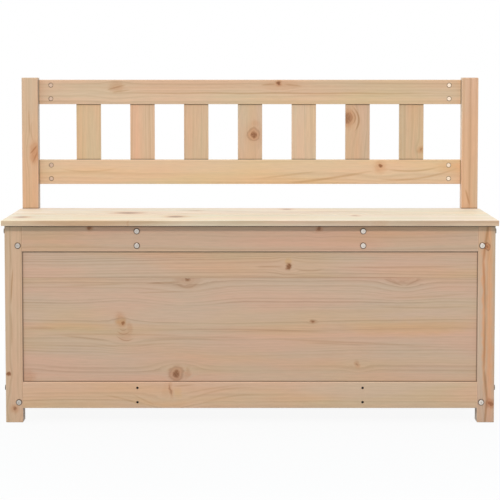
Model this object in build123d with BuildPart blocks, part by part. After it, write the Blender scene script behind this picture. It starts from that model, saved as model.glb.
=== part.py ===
from build123d import *
import os

# Pine storage bench with a slatted backrest and a lifting front seat board.
# Millimetres, +Z up, the front faces -Y. The origin lies on the floor, under the middle of the whole bench.

# Base frame
bench_width = 1080.0  # across the outer faces of the legs
base_depth = 360.0  # front of the legs to the back of the posts
leg_size = 38.0  # square section of the legs and posts
rail_height = 58.0
rail_thickness = 18.0
foot_height = 32.0  # floor to the underside of the bottom rails
edge_ease = 1.5  # rounding of the frame's edges

# Seat
seat_height = 450.0  # floor to the top of the seat
seat_thickness = 12.0
seat_front_overhang = 20.0
seat_side_overhang = 5.0
seat_ease = 1.5  # rounding of the seat boards' edges
lid_depth = 175.0  # front to back of the board that lifts
seat_back_reach = 16.0  # fixed board past the posts' front faces, between the posts
post_notch_play = 0.5  # gap between the fixed board and the posts
bearer_inset = 253.0  # inner face of a leg to the middle of the nearer bearer

# Panels in their grooves, and the floor of the box
panel_thickness = 9.0
panel_setback = 5.0  # outer face of a rail to the face of its panel
groove_depth = 7.0
groove_side_play = 0.2  # on each face of a panel
groove_end_play = 1.0  # at each edge of a panel
floor_thickness = 8.0
floor_play = 1.0  # around the floor board

# Backrest
backrest_gap = 57.0  # top of the seat to the lower rail
slat_opening = 132.0  # lower rail to top rail
post_reveal = 5.0  # top of the posts above the top rail
slat_count = 7
slat_width = 58.0
slat_thickness = 10.0
slat_end_gap = 89.0  # inner face of a post to the nearest slat
slat_tenon = 12.0  # length of slat inside each rail
slat_play = 0.2  # around a slat in its mortise
slat_end_play = 1.0  # beyond a slat's end in its mortise
slat_ease = 1.0

# Bolts and barrel nuts
bolt_diameter = 6.0
bolt_hole_play = 0.5  # around a bolt in the wood
bolt_margin = 13.0  # middle of a bolt to the nearer edge of its rail
bolt_past_nut = 6.0  # bolt beyond the middle of its nut
bolt_end_play = 2.0  # hole beyond the bolt's tip
bolt_tip_chamfer = 0.8
head_diameter = 12.0
head_height = 3.0
head_rounding = 1.2
head_sink = 0.8  # depth of the shallow seat under each head
head_seat_play = 1.0  # around a head in its seat
socket_width = 4.0  # across the flats of the socket in a bolt's head
socket_sides = 6
socket_depth = 1.8
nut_diameter = 10.0
nut_length = 13.0
nut_play = 0.1  # around a nut in its hole
nut_sink = 1.0  # outer end of a nut below the face of the wood
nut_inset = 29.0  # end of a rail to the middle of its nuts
nut_chamfer = 0.6
nut_slot_width = 1.4
nut_slot_depth = 1.2
thread_play = 0.1  # around a bolt in its nut

# Dowels
dowel_diameter = 8.0
dowel_play = 0.05  # around a dowel
dowel_end_play = 1.0  # at each end of a dowel
dowel_in_upright = 14.0  # depth of a dowel hole in a leg or post
dowel_in_rail = 24.0  # depth of a dowel hole in a rail
dowel_chamfer = 1.0

# Wood screws
screw_diameter = 3.6
screw_head_diameter = 5.6
screw_head_height = 2.4
screw_play = 0.1  # around a screw and its head
screw_tip_share = 1 / 3  # of a screw's diameter, tapered off round its tip
screw_recess_width = 0.9
screw_recess_length = 3.0
screw_recess_depth = 1.4
floor_screw_sink = 4.0  # depth of the hole above the seat of a floor bearer's screw head
floor_screw_bite = 30.0  # in the end of a floor bearer
seat_screw_bite = 9.0  # in the fixed seat board
seat_screw_grip = 22.0  # wood left in a seat bearer under the board
seat_screw_inset = 60.0  # edge of the fixed board to its screws

# Lid hinges
hinge_count = 2
hinge_length = 60.0
hinge_inset = 195.0  # end of the lid to the middle of the nearest hinge
hinge_pin_diameter = 2.6
hinge_pin_play = 0.05  # around the pin
hinge_pin_depth = 2.7  # top of the seat to the middle of the pin
knuckle_radius = 2.5
knuckle_count = 5
knuckle_gap = 0.3  # between neighbouring knuckles, and from a knuckle to the wood
leaf_thickness = 1.2
leaf_floor_gap = 0.3  # lower edge of a leaf above the underside of the seat
hinge_screws_per_leaf = 3
hinge_screw_pitch = 20.0
hinge_screw_diameter = 2.4
hinge_screw_head_diameter = 4.4
hinge_screw_length = 16.0
hinge_screw_recess_width = 0.6
hinge_screw_recess_length = 2.4
hinge_screw_recess_depth = 0.7
countersink_angle = 90.0

# Levels and planes worked out from the sizes
head_proud = head_height - head_sink
overall_depth = seat_front_overhang + base_depth + head_proud
seat_front = -overall_depth / 2
frame_front = seat_front + seat_front_overhang
frame_back = frame_front + base_depth
post_front = frame_back - leg_size
leg_inner = bench_width / 2 - leg_size
seat_half_width = bench_width / 2 + seat_side_overhang
frame_top = seat_height - seat_thickness
top_rail_bottom = frame_top - rail_height
bottom_rail_top = foot_height + rail_height
front_rail_y = frame_front + rail_thickness / 2
back_rail_y = frame_back - rail_thickness / 2
side_rail_x = leg_inner + rail_thickness / 2
bearer_x = leg_inner - bearer_inset
bearer_front = frame_front + rail_thickness
bearer_back = frame_back - rail_thickness
bearer_length = bearer_back - bearer_front
lower_back_rail_bottom = seat_height + backrest_gap
top_back_rail_bottom = lower_back_rail_bottom + rail_height + slat_opening
post_height = top_back_rail_bottom + rail_height + post_reveal

# Panels
panel_from_rail_middle = rail_thickness / 2 - panel_setback - panel_thickness / 2
front_panel_y = front_rail_y - panel_from_rail_middle
back_panel_y = back_rail_y + panel_from_rail_middle
side_panel_x = side_rail_x + panel_from_rail_middle
groove_width = panel_thickness + 2 * groove_side_play
groove_bottom = bottom_rail_top - groove_depth
groove_top = top_rail_bottom + groove_depth
panel_bottom = groove_bottom + groove_end_play
panel_height = groove_top - groove_end_play - panel_bottom

# Fasteners
bolt_radius = bolt_diameter / 2
bolt_hole_radius = bolt_radius + bolt_hole_play
head_seat_radius = head_diameter / 2 + head_seat_play
end_bolt_depth = nut_inset + bolt_past_nut + bolt_end_play
nut_hole_radius = nut_diameter / 2 + nut_play
nut_hole_depth = nut_sink + nut_length
nut_bore_depth = rail_thickness / 2 - nut_sink
upright_bolt_length = leg_size - head_sink + nut_inset + bolt_past_nut
bearer_bolt_length = rail_thickness - head_sink + nut_inset + bolt_past_nut
dowel_hole_radius = dowel_diameter / 2 + dowel_play
screw_hole_radius = screw_diameter / 2 + screw_play
screw_head_hole_radius = screw_head_diameter / 2 + screw_play
floor_screw_seat = floor_screw_sink + screw_head_height
floor_screw_length = rail_thickness - floor_screw_seat + floor_screw_bite
seat_screw_length = seat_screw_grip + seat_screw_bite

# Heights of the bolts, screws and dowels in the rails
frame_rail_bottoms = [foot_height, top_rail_bottom]
backrest_rail_bottoms = [lower_back_rail_bottom, top_back_rail_bottom]
upper_bolt_heights = [bottom + rail_height - bolt_margin for bottom in frame_rail_bottoms]
lower_bolt_heights = [bottom + bolt_margin for bottom in frame_rail_bottoms]
dowel_heights = [bottom + rail_height / 2 for bottom in frame_rail_bottoms]
backrest_bolt_heights = [
    bottom + offset
    for bottom in backrest_rail_bottoms
    for offset in (bolt_margin, rail_height - bolt_margin)
]

# Seat seam and hinges
seam_half_gap = knuckle_radius + knuckle_gap
lid_back = seat_front + lid_depth
pin_y = lid_back + seam_half_gap
pin_z = seat_height - hinge_pin_depth
fixed_board_front = pin_y + seam_half_gap
fixed_board_back = post_front + seat_back_reach
seat_screw_rows = (fixed_board_front + seat_screw_inset, fixed_board_back - seat_screw_inset)
knuckle_pitch = hinge_length / knuckle_count
knuckle_length = knuckle_pitch - knuckle_gap
leaf_bottom = frame_top + leaf_floor_gap
leaf_plate_top = pin_z - seam_half_gap
hinge_span = 2 * (seat_half_width - hinge_inset)
hinge_pitch = hinge_span / (hinge_count - 1)
hinge_places = [number * hinge_pitch - hinge_span / 2 for number in range(hinge_count)]
knuckle_offsets = [(number - (knuckle_count - 1) / 2) * knuckle_pitch for number in range(knuckle_count)]
hinge_screw_offsets = [
    (number - (hinge_screws_per_leaf - 1) / 2) * hinge_screw_pitch for number in range(hinge_screws_per_leaf)
]
hinge_screw_z = (leaf_bottom + leaf_plate_top) / 2

# Slats
slat_gap = (2 * leg_inner - slat_count * slat_width - 2 * slat_end_gap) / (slat_count - 1)
slat_pitch = slat_width + slat_gap
slat_places = [(number - (slat_count - 1) / 2) * slat_pitch for number in range(slat_count)]

sides = {"left": -1, "right": 1}
hanging = (Align.CENTER, Align.CENTER, Align.MAX)
standing = (Align.CENTER, Align.CENTER, Align.MIN)


def facing(direction, point, along=None):
    """A plane at a point on a face that looks out of the wood, its x axis along a given direction."""
    return Plane(origin=point, x_dir=along, z_dir=direction)


def save(builder, name):
    """Label a finished piece and write it to its own file."""
    builder.part.label = name
    export_step(builder.part, f"parts/{name}.step")


def place_copies(name, pattern, planes):
    """A group of identical pieces, one on each plane."""
    with BuildPart() as group:
        with Locations(*planes):
            add(pattern.part)
    save(group, name)


def upright(name, side, outward, height, rail_y, panel_y, bolt_heights):
    """A front leg or back post, bored for its bolts and dowels and grooved for its two panels."""
    outer_x = side * bench_width / 2
    inner_x = side * leg_inner
    outer_y = frame_front if outward < 0 else frame_back
    inner_y = outer_y - outward * leg_size
    rail_bolts = [facing((side, 0, 0), (outer_x, rail_y, z)) for z in bolt_heights]
    side_bolts = [facing((0, outward, 0), (side * side_rail_x, outer_y, z)) for z in lower_bolt_heights]
    rail_dowels = [facing((-side, 0, 0), (inner_x, rail_y, z)) for z in dowel_heights]
    side_dowels = [facing((0, -outward, 0), (side * side_rail_x, inner_y, z)) for z in dowel_heights]
    with BuildPart() as post:
        with BuildSketch(Plane.XY):
            with Locations(((outer_x + inner_x) / 2, (outer_y + inner_y) / 2)):
                Rectangle(leg_size, leg_size)
        extrude(amount=height)
        fillet(post.edges(), edge_ease)
        with BuildSketch(Plane.XY.offset(groove_bottom)):
            with Locations((inner_x, panel_y)):
                Rectangle(2 * groove_depth, groove_width)
            with Locations((side * side_panel_x, inner_y)):
                Rectangle(groove_width, 2 * groove_depth)
        extrude(amount=groove_top - groove_bottom, mode=Mode.SUBTRACT)
        with Locations(*rail_bolts, *side_bolts):
            CounterBoreHole(bolt_hole_radius, head_seat_radius, head_sink)
        with Locations(*rail_dowels, *side_dowels):
            Hole(dowel_hole_radius, depth=dowel_in_upright)
    save(post, name)


def frame_rail(name, outward, is_top):
    """A long rail of the box's front or back: grooved for the panel, bored for bolts, nuts and bearers."""
    rail_y = front_rail_y if outward < 0 else back_rail_y
    panel_y = front_panel_y if outward < 0 else back_panel_y
    outer_y = rail_y + outward * rail_thickness / 2
    inner_y = rail_y - outward * rail_thickness / 2
    bottom = top_rail_bottom if is_top else foot_height
    groove_z = bottom if is_top else bottom + rail_height
    bolt_z = bottom + rail_height - bolt_margin
    bearer_heights = (bottom + bolt_margin, bolt_z)
    ends = sides.values()
    bolt_planes = [facing((end, 0, 0), (end * leg_inner, rail_y, bolt_z)) for end in ends]
    dowel_planes = [facing((end, 0, 0), (end * leg_inner, rail_y, bottom + rail_height / 2)) for end in ends]
    nut_planes = [
        facing((0, -outward, 0), (end * (leg_inner - nut_inset), inner_y, bolt_z)) for end in ends
    ]
    bearer_planes = [
        facing((0, outward, 0), (end * bearer_x, outer_y, z)) for end in ends for z in bearer_heights
    ]
    with BuildPart() as rail:
        with Locations((0, rail_y, bottom + rail_height / 2)):
            Box(2 * leg_inner, rail_thickness, rail_height)
        fillet(rail.edges().filter_by(Axis.X), edge_ease)
        with Locations((0, panel_y, groove_z)):
            Box(2 * leg_inner, groove_width, 2 * groove_depth, mode=Mode.SUBTRACT)
        with Locations(*bolt_planes):
            Hole(bolt_hole_radius, depth=end_bolt_depth)
        with Locations(*dowel_planes):
            Hole(dowel_hole_radius, depth=dowel_in_rail)
        with Locations(*nut_planes):
            Hole(nut_hole_radius, depth=nut_hole_depth)
        with Locations(*bearer_planes):
            if is_top:
                CounterBoreHole(bolt_hole_radius, head_seat_radius, head_sink)
            else:
                CounterBoreHole(screw_hole_radius, screw_head_hole_radius, floor_screw_seat)
    save(rail, name)


def side_rail(name, side, is_top):
    """A short rail between a leg and a post, grooved for the side panel and bored for bolts and nuts."""
    leg_back = frame_front + leg_size
    rail_x = side * side_rail_x
    bottom = top_rail_bottom if is_top else foot_height
    groove_z = bottom if is_top else bottom + rail_height
    bolt_z = bottom + bolt_margin
    dowel_z = bottom + rail_height / 2
    ends = ((leg_back, -1), (post_front, 1))
    bolt_planes = [facing((0, end, 0), (rail_x, y, bolt_z)) for y, end in ends]
    dowel_planes = [facing((0, end, 0), (rail_x, y, dowel_z)) for y, end in ends]
    nut_planes = [
        facing((-side, 0, 0), (side * leg_inner, y - end * nut_inset, bolt_z)) for y, end in ends
    ]
    with BuildPart() as rail:
        with Locations((rail_x, (leg_back + post_front) / 2, bottom + rail_height / 2)):
            Box(rail_thickness, post_front - leg_back, rail_height)
        fillet(rail.edges().filter_by(Axis.Y), edge_ease)
        with Locations((side * side_panel_x, (leg_back + post_front) / 2, groove_z)):
            Box(groove_width, post_front - leg_back, 2 * groove_depth, mode=Mode.SUBTRACT)
        with Locations(*bolt_planes):
            Hole(bolt_hole_radius, depth=end_bolt_depth)
        with Locations(*dowel_planes):
            Hole(dowel_hole_radius, depth=dowel_in_rail)
        with Locations(*nut_planes):
            Hole(nut_hole_radius, depth=nut_hole_depth)
    save(rail, name)


def panel(name, width, depth, middle):
    """A panel that fills the grooves of the rails and uprights round it, less its play."""
    with BuildPart() as board:
        with Locations((*middle, panel_bottom + panel_height / 2)):
            Box(width, depth, panel_height)
    save(board, name)


def bearer(name, side, bottom, bolted):
    """A board on edge from the front rail to the back rail, under the seat or under the floor."""
    x = side * bearer_x
    heights = (bottom + bolt_margin, bottom + rail_height - bolt_margin)
    ends = ((bearer_front, -1), (bearer_back, 1))
    end_planes = [facing((0, end, 0), (x, y, z)) for y, end in ends for z in heights]
    nut_planes = [
        facing((side, 0, 0), (x + side * rail_thickness / 2, y - end * nut_inset, z))
        for y, end in ends
        for z in heights
    ]
    with BuildPart() as board:
        with Locations((x, (bearer_front + bearer_back) / 2, bottom + rail_height / 2)):
            Box(rail_thickness, bearer_length, rail_height)
        fillet(board.edges().filter_by(Axis.Y), edge_ease)
        if bolted:
            with Locations(*end_planes):
                Hole(bolt_hole_radius, depth=end_bolt_depth)
            with Locations(*nut_planes):
                Hole(nut_hole_radius, depth=nut_hole_depth)
            with Locations(*[facing((0, 0, -1), (x, y, bottom)) for y in seat_screw_rows]):
                CounterBoreHole(screw_hole_radius, screw_head_hole_radius, rail_height - seat_screw_grip)
        else:
            with Locations(*end_planes):
                Hole(screw_hole_radius, depth=floor_screw_bite + screw_play)
    save(board, name)


def backrest_rail(name, bottom, mortise_z):
    """A long rail between the posts, mortised for the slats, with its nuts let in from the front."""
    front_y = back_rail_y - rail_thickness / 2
    heights = (bottom + bolt_margin, bottom + rail_height - bolt_margin)
    ends = sides.values()
    bolt_planes = [facing((end, 0, 0), (end * leg_inner, back_rail_y, z)) for end in ends for z in heights]
    nut_planes = [
        facing((0, -1, 0), (end * (leg_inner - nut_inset), front_y, z)) for end in ends for z in heights
    ]
    with BuildPart() as rail:
        with Locations((0, back_rail_y, bottom + rail_height / 2)):
            Box(2 * leg_inner, rail_thickness, rail_height)
        fillet(rail.edges().filter_by(Axis.X), edge_ease)
        with Locations(*[(x, back_rail_y, mortise_z) for x in slat_places]):
            Box(
                slat_width + 2 * slat_play,
                slat_thickness + 2 * slat_play,
                2 * (slat_tenon + slat_end_play),
                mode=Mode.SUBTRACT,
            )
        with Locations(*bolt_planes):
            Hole(bolt_hole_radius, depth=end_bolt_depth)
        with Locations(*nut_planes):
            Hole(nut_hole_radius, depth=nut_hole_depth)
    save(rail, name)


def bolt(shaft_length):
    """A flat-headed bolt with a hexagon socket, its shaft hanging from the underside of its head."""
    with BuildPart() as piece:
        Cylinder(head_diameter / 2, head_height, align=standing)
        fillet(piece.edges().group_by(Axis.Z)[-1], head_rounding)
        Cylinder(bolt_radius, shaft_length, align=hanging)
        chamfer(piece.edges().group_by(Axis.Z)[0], bolt_tip_chamfer)
        with BuildSketch(Plane.XY.offset(head_height)):
            RegularPolygon(socket_width / 2, socket_sides, major_radius=False)
        extrude(amount=-socket_depth, mode=Mode.SUBTRACT)
    return piece


def wood_screw(shaft_length):
    """A cheese-headed wood screw with a cross recess, its shaft hanging from the underside of its head."""
    with BuildPart() as piece:
        Cylinder(screw_head_diameter / 2, screw_head_height, align=standing)
        Cylinder(screw_diameter / 2, shaft_length, align=hanging)
        chamfer(piece.edges().group_by(Axis.Z)[0], screw_diameter * screw_tip_share)
        with Locations((0, 0, screw_head_height)):
            Box(screw_recess_length, screw_recess_width, 2 * screw_recess_depth, mode=Mode.SUBTRACT)
            Box(screw_recess_width, screw_recess_length, 2 * screw_recess_depth, mode=Mode.SUBTRACT)
    return piece


def hinge_leaves(name, direction, own_knuckles):
    """The leaves of one side of the seam, all hinges together: a plate with tabs rolled into knuckles."""
    plate_y = pin_y + direction * (seam_half_gap - leaf_thickness / 2)
    screw_face_y = pin_y + direction * (seam_half_gap - leaf_thickness)
    knuckle_places = [x + offset for x in hinge_places for offset in own_knuckles]
    screw_planes = [
        facing((0, -direction, 0), (x + offset, screw_face_y, hinge_screw_z))
        for x in hinge_places
        for offset in hinge_screw_offsets
    ]
    with BuildPart() as leaves:
        with Locations(*[(x, plate_y, (leaf_bottom + leaf_plate_top) / 2) for x in hinge_places]):
            Box(hinge_length, leaf_thickness, leaf_plate_top - leaf_bottom)
        with Locations(*[(x, plate_y, (leaf_plate_top + pin_z) / 2) for x in knuckle_places]):
            Box(knuckle_length, leaf_thickness, pin_z - leaf_plate_top)
        with Locations(*[(x, pin_y, pin_z) for x in knuckle_places]):
            Cylinder(knuckle_radius, knuckle_length, rotation=(0, 90, 0))
        with Locations(*[(x, pin_y, pin_z) for x in hinge_places]):
            Cylinder(
                hinge_pin_diameter / 2 + hinge_pin_play,
                hinge_length,
                rotation=(0, 90, 0),
                mode=Mode.SUBTRACT,
            )
        with Locations(*screw_planes):
            CounterSinkHole(
                hinge_screw_diameter / 2 + screw_play,
                hinge_screw_head_diameter / 2 + screw_play,
                depth=leaf_thickness,
                counter_sink_angle=countersink_angle,
            )
    save(leaves, name)
    return screw_planes


os.makedirs("parts", exist_ok=True)

# Legs and posts
for word, side in sides.items():
    upright(f"front_leg_{word}", side, -1, frame_top, front_rail_y, front_panel_y, upper_bolt_heights)
    post_bolt_heights = upper_bolt_heights + backrest_bolt_heights
    upright(f"back_post_{word}", side, 1, post_height, back_rail_y, back_panel_y, post_bolt_heights)

# Rails and panels of the box
frame_rail("front_top_rail", -1, True)
frame_rail("front_bottom_rail", -1, False)
frame_rail("back_top_rail", 1, True)
frame_rail("back_bottom_rail", 1, False)
long_panel_width = 2 * (leg_inner + groove_depth - groove_end_play)
panel("front_panel", long_panel_width, panel_thickness, (0, front_panel_y))
panel("back_panel", long_panel_width, panel_thickness, (0, back_panel_y))
side_panel_length = base_depth - 2 * leg_size + 2 * (groove_depth - groove_end_play)
for word, side in sides.items():
    side_rail(f"{word}_top_rail", side, True)
    side_rail(f"{word}_bottom_rail", side, False)
    panel(
        f"{word}_panel",
        panel_thickness,
        side_panel_length,
        (side * side_panel_x, (frame_front + frame_back) / 2),
    )
    bearer(f"seat_bearer_{word}", side, top_rail_bottom, True)
    bearer(f"floor_bearer_{word}", side, foot_height, False)

# Floor of the box, lying on its bearers and on the inner edges of the long bottom rails
floor_front = front_panel_y + panel_thickness / 2 + floor_play
floor_back = back_panel_y - panel_thickness / 2 - floor_play
with BuildPart() as floor_board:
    with Locations((0, (floor_front + floor_back) / 2, bottom_rail_top + floor_thickness / 2)):
        Box(2 * (leg_inner - floor_play), floor_back - floor_front, floor_thickness)
save(floor_board, "floor_board")

# Front seat board, which lifts
hinge_screw_hole_radius = hinge_screw_diameter / 2 + screw_play
hinge_screw_hole_depth = hinge_screw_length - leaf_thickness + screw_play
hinge_screw_places = [x + offset for x in hinge_places for offset in hinge_screw_offsets]
with BuildPart() as seat_lid:
    with Locations((0, (seat_front + lid_back) / 2, (frame_top + seat_height) / 2)):
        Box(2 * seat_half_width, lid_depth, seat_thickness)
    fillet(seat_lid.edges(), seat_ease)
    with Locations(*[facing((0, 1, 0), (x, lid_back, hinge_screw_z)) for x in hinge_screw_places]):
        Hole(hinge_screw_hole_radius, depth=hinge_screw_hole_depth)
save(seat_lid, "seat_lid")

# Rear seat board, fixed and cut out round the posts
notch_front = post_front - post_notch_play
notch_inner = leg_inner - post_notch_play
with BuildPart() as fixed_seat_board:
    with BuildSketch(Plane.XY.offset(frame_top)):
        with Locations((0, (fixed_board_front + notch_front) / 2)):
            Rectangle(2 * seat_half_width, notch_front - fixed_board_front)
        with Locations((0, (fixed_board_front + fixed_board_back) / 2)):
            Rectangle(2 * notch_inner, fixed_board_back - fixed_board_front)
    extrude(amount=seat_thickness)
    fillet(fixed_seat_board.faces().filter_by(Axis.Z).edges(), seat_ease)
    with Locations(*[facing((0, -1, 0), (x, fixed_board_front, hinge_screw_z)) for x in hinge_screw_places]):
        Hole(hinge_screw_hole_radius, depth=hinge_screw_hole_depth)
    with Locations(
        *[facing((0, 0, -1), (end * bearer_x, y, frame_top)) for end in sides.values() for y in seat_screw_rows]
    ):
        Hole(screw_hole_radius, depth=seat_screw_bite + screw_play)
save(fixed_seat_board, "fixed_seat_board")

# Backrest
backrest_rail("backrest_lower_rail", lower_back_rail_bottom, lower_back_rail_bottom + rail_height)
backrest_rail("backrest_top_rail", top_back_rail_bottom, top_back_rail_bottom)
slat_middle_z = top_back_rail_bottom - slat_opening / 2
for number, x in enumerate(slat_places, start=1):
    with BuildPart() as slat:
        with Locations((x, back_rail_y, slat_middle_z)):
            Box(slat_width, slat_thickness, slat_opening + 2 * slat_tenon)
        fillet(slat.edges().filter_by(Axis.Z), slat_ease)
    save(slat, f"backrest_slat_{number}")

# Bolts, their heads in shallow seats
upright_bolt = bolt(upright_bolt_length)
bearer_bolt = bolt(bearer_bolt_length)
head_seat_x = bench_width / 2 - head_sink
front_seat_y = frame_front + head_sink
back_seat_y = frame_back - head_sink
rail_bolt_groups = {
    "front_rail_bolts": (front_rail_y, upper_bolt_heights),
    "back_rail_bolts": (back_rail_y, upper_bolt_heights),
    "backrest_bolts": (back_rail_y, backrest_bolt_heights),
}
for name, (y, heights) in rail_bolt_groups.items():
    place_copies(
        name,
        upright_bolt,
        [facing((end, 0, 0), (end * head_seat_x, y, z)) for end in sides.values() for z in heights],
    )
top_bearer_heights = (top_rail_bottom + bolt_margin, frame_top - bolt_margin)
for word, outward, y in (("front", -1, front_seat_y), ("back", 1, back_seat_y)):
    place_copies(
        f"{word}_side_rail_bolts",
        upright_bolt,
        [
            facing((0, outward, 0), (end * side_rail_x, y, z))
            for end in sides.values()
            for z in lower_bolt_heights
        ],
    )
    place_copies(
        f"{word}_bearer_bolts",
        bearer_bolt,
        [
            facing((0, outward, 0), (end * bearer_x, y, z))
            for end in sides.values()
            for z in top_bearer_heights
        ],
    )

# Barrel nuts, cross-bored for the bolts and slotted on their outer ends
with BuildPart() as barrel_nut:
    Cylinder(nut_diameter / 2, nut_length, align=hanging)
    chamfer(barrel_nut.edges().group_by(Axis.Z)[-1], nut_chamfer)
    with Locations((0, 0, -nut_bore_depth)):
        Cylinder(bolt_radius + thread_play, nut_diameter, rotation=(0, 90, 0), mode=Mode.SUBTRACT)
    Box(nut_diameter, nut_slot_width, 2 * nut_slot_depth, mode=Mode.SUBTRACT)
along_x = (1, 0, 0)
along_y = (0, 1, 0)
nut_x = leg_inner - nut_inset
front_nut_y = front_rail_y + rail_thickness / 2 - nut_sink
back_nut_y = back_rail_y - rail_thickness / 2 + nut_sink
rail_nut_groups = {
    "front_rail_nuts": ((0, 1, 0), front_nut_y, upper_bolt_heights),
    "back_rail_nuts": ((0, -1, 0), back_nut_y, upper_bolt_heights),
    "backrest_nuts": ((0, -1, 0), back_nut_y, backrest_bolt_heights),
}
for name, (direction, y, heights) in rail_nut_groups.items():
    place_copies(
        name,
        barrel_nut,
        [facing(direction, (end * nut_x, y, z), along_x) for end in sides.values() for z in heights],
    )
place_copies(
    "side_rail_nuts",
    barrel_nut,
    [
        facing((-end, 0, 0), (end * (leg_inner + nut_sink), y, z), along_y)
        for end in sides.values()
        for y in (frame_front + leg_size + nut_inset, post_front - nut_inset)
        for z in lower_bolt_heights
    ],
)
place_copies(
    "bearer_nuts",
    barrel_nut,
    [
        facing((end, 0, 0), (end * (bearer_x + rail_thickness / 2 - nut_sink), y, z), along_y)
        for end in sides.values()
        for y in (bearer_front + nut_inset, bearer_back - nut_inset)
        for z in top_bearer_heights
    ],
)

# Dowels between the rails and the uprights
with BuildPart() as dowel:
    with Locations((0, 0, dowel_in_upright - dowel_end_play)):
        Cylinder(
            dowel_diameter / 2, dowel_in_upright + dowel_in_rail - 2 * dowel_end_play, align=hanging
        )
    chamfer(dowel.edges().filter_by(GeomType.CIRCLE), dowel_chamfer)
place_copies(
    "long_rail_dowels",
    dowel,
    [
        facing((end, 0, 0), (end * leg_inner, y, z))
        for end in sides.values()
        for y in (front_rail_y, back_rail_y)
        for z in dowel_heights
    ],
)
place_copies(
    "side_rail_dowels",
    dowel,
    [
        facing((0, outward, 0), (end * side_rail_x, y, z))
        for end in sides.values()
        for y, outward in ((frame_front + leg_size, -1), (post_front, 1))
        for z in dowel_heights
    ],
)

# Screws of the floor bearers and of the fixed seat board
place_copies(
    "floor_bearer_screws",
    wood_screw(floor_screw_length),
    [
        facing((0, outward, 0), (end * bearer_x, y - outward * floor_screw_seat, z))
        for end in sides.values()
        for y, outward in ((frame_front, -1), (frame_back, 1))
        for z in (foot_height + bolt_margin, bottom_rail_top - bolt_margin)
    ],
)
place_copies(
    "seat_board_screws",
    wood_screw(seat_screw_length),
    [
        facing((0, 0, -1), (end * bearer_x, y, frame_top - seat_screw_grip))
        for end in sides.values()
        for y in seat_screw_rows
    ],
)

# Lid hinges: leaves on both edges of the seam, pins and countersunk screws
fixed_screw_planes = hinge_leaves("hinge_fixed_leaves", 1, knuckle_offsets[0::2])
lid_screw_planes = hinge_leaves("hinge_lid_leaves", -1, knuckle_offsets[1::2])
with BuildPart() as hinge_pins:
    with Locations(*[(x, pin_y, pin_z) for x in hinge_places]):
        Cylinder(hinge_pin_diameter / 2, hinge_length, rotation=(0, 90, 0))
save(hinge_pins, "hinge_pins")

hinge_head_height = (hinge_screw_head_diameter - hinge_screw_diameter) / 2
with BuildPart() as hinge_screw:
    Cone(hinge_screw_diameter / 2, hinge_screw_head_diameter / 2, hinge_head_height, align=hanging)
    Cylinder(hinge_screw_diameter / 2, hinge_screw_length, align=hanging)
    chamfer(hinge_screw.edges().group_by(Axis.Z)[0], hinge_screw_diameter * screw_tip_share)
    Box(
        hinge_screw_recess_length,
        hinge_screw_recess_width,
        2 * hinge_screw_recess_depth,
        mode=Mode.SUBTRACT,
    )
    Box(
        hinge_screw_recess_width,
        hinge_screw_recess_length,
        2 * hinge_screw_recess_depth,
        mode=Mode.SUBTRACT,
    )
place_copies("hinge_fixed_screws", hinge_screw, fixed_screw_planes)
place_copies("hinge_lid_screws", hinge_screw, lid_screw_planes)
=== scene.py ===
"""Pine storage bench: the finishes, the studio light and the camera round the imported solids."""
import math
import random

import bpy
import numpy as np
from mathutils import Matrix, Vector


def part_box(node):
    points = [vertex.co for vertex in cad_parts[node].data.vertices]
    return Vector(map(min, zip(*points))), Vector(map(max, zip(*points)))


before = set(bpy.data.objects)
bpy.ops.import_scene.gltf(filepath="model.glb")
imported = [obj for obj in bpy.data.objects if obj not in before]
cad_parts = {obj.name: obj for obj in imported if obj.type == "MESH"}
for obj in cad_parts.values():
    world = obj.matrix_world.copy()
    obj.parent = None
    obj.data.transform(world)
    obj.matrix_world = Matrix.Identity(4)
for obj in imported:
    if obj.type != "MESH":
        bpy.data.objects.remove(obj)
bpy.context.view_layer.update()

MM = 0.001
DEEP = 1000.0  # a size so large that a mark runs right through the board
ALL = 9999     # a place past the end of any board, in mm
AXES = ((1, 0, 0), (0, 1, 0), (0, 0, 1))

# How a board lies: the direction of its grain and the direction across its face.
LONG_FRONT = ((1, 0, 0), (0, 0, 1))
UPRIGHT = ((0, 0, 1), (1, 0, 0))
CROSSWISE = ((0, 1, 0), (0, 0, 1))
LYING = ((1, 0, 0), (0, 1, 0))


def paint(red, green, blue):
    """A colour of a paint card, 0 to 255, as the light it gives back."""
    card = np.array((red, green, blue)) / 255.0
    light = np.where(card <= 0.04045, card / 12.92, ((card + 0.055) / 1.055) ** 2.4)
    return (*light.tolist(), 1.0)


def grey(level):
    """A plain grey that gives back this share of the light."""
    return (level, level, level, 1.0)


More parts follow.
